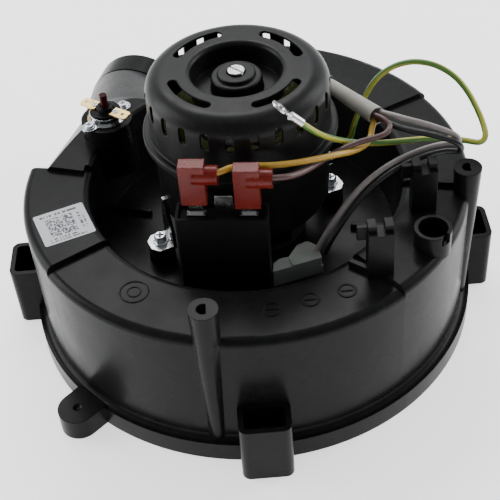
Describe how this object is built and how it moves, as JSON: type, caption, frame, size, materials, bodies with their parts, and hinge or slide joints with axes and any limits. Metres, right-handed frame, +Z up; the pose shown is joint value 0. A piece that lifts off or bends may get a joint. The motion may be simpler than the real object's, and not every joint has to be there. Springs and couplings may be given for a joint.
{
  "type": "combustion fan",
  "caption": "Draft inducer: a round moulded scroll with a side outlet spigot and an open-top motor standing in its well, with run capacitor, limit switch and leads",
  "frame": {"origin": "centre of the housing's rim on the motor axis, in the plane that the housing stands on", "axes": "+Z up along the motor shaft; the outlet spigot points mostly towards +Y, seventeen degrees off towards +X"},
  "size_m": [0.248, 0.2615, 0.1509],
  "materials": {
    "housing_plastic": "black glass-filled moulding, semi-gloss",
    "plate_steel": "galvanised",
    "gasket_rubber": "matt",
    "zinc_screw": "zinc plated",
    "impeller_plastic": "moulded nylon",
    "shaft_steel": "ground",
    "rotor_iron": "laminated",
    "cage_aluminium": "cast",
    "fan_plastic": "moulded",
    "bearing_bronze": "sintered bronze",
    "motor_paint": "black paint, satin",
    "core_iron": "laminated, varnished",
    "winding_enamel": "yellow-green taped coils",
    "seal_rubber": "matt",
    "grommet_rubber": "matt",
    "case_plastic": "matt black",
    "tinned_brass": "bright",
    "flag_plastic": "translucent red vinyl",
    "foot_steel": "plated steel",
    "bracket_steel": "black",
    "switch_phenolic": "black moulded",
    "switch_aluminium": "bright",
    "button_plastic": "dark red",
    "label_paper": "white label film",
    "sleeve_fabric": "off-white sleeving",
    "boot_rubber": "matt",
    "terminal_tin": "tin plated",
    "connector_nylon": "natural nylon",
    "lead_yellow_pvc": "lead insulation",
    "lead_brown_pvc": "lead insulation",
    "lead_white_pvc": "lead insulation",
    "lead_black_pvc": "lead insulation",
    "lead_ground_pvc": "yellow with a green stripe"
  },
  "bodies": {
    "fan_body": {"bearing_retainers": "zinc_screw", "capacitor_blades": "terminal_tin", "capacitor_bracket": "bracket_steel", "capacitor_case": "case_plastic", "capacitor_pad": "grommet_rubber", "flag_insulators": "flag_plastic", "flag_receptacles": "tinned_brass", "foot_grommets": "grommet_rubber", "foot_screws": "zinc_screw", "ground_lug": "terminal_tin", "inlet_plate": "plate_steel", "lead_black": "lead_black_pvc", "lead_boot": "boot_rubber", "lead_brown": "lead_brown_pvc", "lead_connector": "connector_nylon", "lead_ground": "lead_ground_pvc", "lead_sleeve": "sleeve_fabric", "lead_white": "lead_white_pvc", "lead_yellow": "lead_yellow_pvc", "lower_bearing": "bearing_bronze", "motor_base_shell": "motor_paint", "motor_cap": "motor_paint", "motor_feet": "foot_steel", "plate_gasket": "gasket_rubber", "plate_screws": "zinc_screw", "rating_label": "label_paper", "ring_terminal": "terminal_tin", "shaft_seal": "seal_rubber", "stator_core": "core_iron", "stator_windings": "winding_enamel", "switch_blades": "tinned_brass", "switch_body": "switch_phenolic", "switch_flange": "switch_aluminium", "switch_screws": "zinc_screw", "upper_bearing": "bearing_bronze", "volute_housing": "housing_plastic"},
    "rotor": {"impeller_wheel": "impeller_plastic", "impeller_shroud": "impeller_plastic", "hub_set_screw": "zinc_screw", "motor_shaft": "shaft_steel", "rotor_core": "rotor_iron", "rotor_cage": "cage_aluminium", "thrust_washers": "bearing_bronze", "cooling_fan": "fan_plastic"},
    "reset_button": {"reset_button": "button_plastic"}
  },
  "joints": [
    {"name": "rotor_spin", "type": "hinge", "parent": "fan_body", "child": "rotor", "pos_m": [0, 0, 0.08], "axis": [0, 0, 1], "continuous": true},
    {"name": "reset_press", "type": "slide", "parent": "fan_body", "child": "reset_button", "axis": [0, 0, -1], "range_m": [0, 0.0015], "stiffness_N_per_m": 400, "springref_m": -0.0005}
  ]
}
